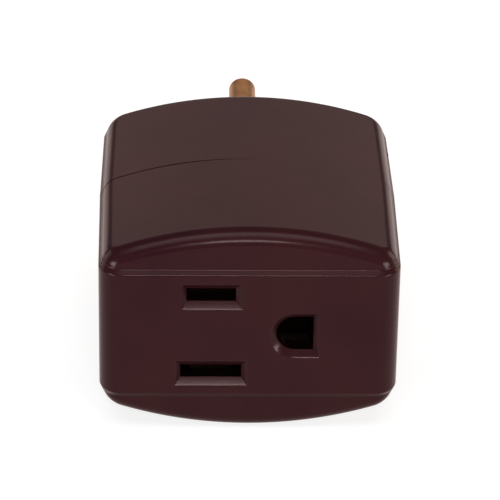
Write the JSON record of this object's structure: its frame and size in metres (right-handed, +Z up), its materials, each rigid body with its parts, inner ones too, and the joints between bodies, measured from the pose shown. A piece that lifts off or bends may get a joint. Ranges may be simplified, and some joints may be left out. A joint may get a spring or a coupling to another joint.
{
  "type": "grounded cube tap",
  "caption": "Brown moulded cube tap with domed top and bottom, outlets on the front and sides and a grounded plug at the back.",
  "frame": {"origin": "centre of the plug face, where the housing meets the wall outlet's face", "axes": "+Y along the blades towards the wall, +Z up towards the ground pin's side, +X to the right as seen facing the wall"},
  "size_m": [0.043, 0.0653, 0.0322],
  "materials": {
    "housing": "satin moulded",
    "blade": "rolled",
    "pin": "drawn, slightly tarnished",
    "bus": "stamped",
    "contact": "spring temper"
  },
  "bodies": {
    "root": {"front_housing": "housing", "rear_housing": "housing", "hot_blade": "blade", "neutral_blade": "blade", "ground_pin": "pin", "hot_bus": "bus", "neutral_bus": "bus", "ground_bus": "bus", "hot_contact_front": "contact", "hot_contact_right": "contact", "hot_contact_left": "contact", "neutral_contact_front": "contact", "neutral_contact_right": "contact", "neutral_contact_left": "contact", "ground_contact_front": "contact", "ground_contact_right": "contact", "ground_contact_left": "contact"}
  },
  "joints": []
}
